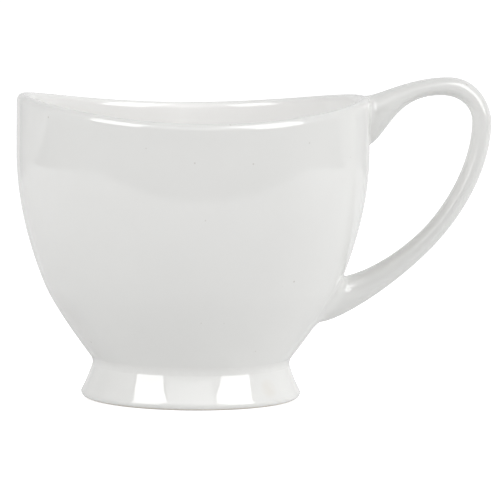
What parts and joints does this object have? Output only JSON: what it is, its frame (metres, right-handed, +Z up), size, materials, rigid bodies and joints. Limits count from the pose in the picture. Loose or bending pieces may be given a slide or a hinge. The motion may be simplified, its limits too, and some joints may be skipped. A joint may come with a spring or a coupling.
{
  "type": "cream jug",
  "caption": "Footed porcelain cream jug with a round tapered bowl, a saddle-shaped rim that rises to a pouring end, a low flared foot ring and a tall loop handle.",
  "frame": {"origin": "centre of the foot's resting plane, on the bowl's axis", "axes": "+Z up along the bowl's axis, +X towards the handle, -X towards the pouring end, +Y across the jug"},
  "size_m": [0.1194, 0.0884, 0.0808],
  "materials": {
    "glazed_porcelain": "gloss",
    "glazed_foot": "gloss",
    "glazed_handle": "gloss",
    "fired_slip": "matte"
  },
  "bodies": {
    "root": {"bowl": "glazed_porcelain", "foot_ring": "glazed_foot", "handle": "glazed_handle", "foot_slip": "fired_slip", "upper_handle_slip": "fired_slip", "lower_handle_slip": "fired_slip"}
  },
  "joints": []
}
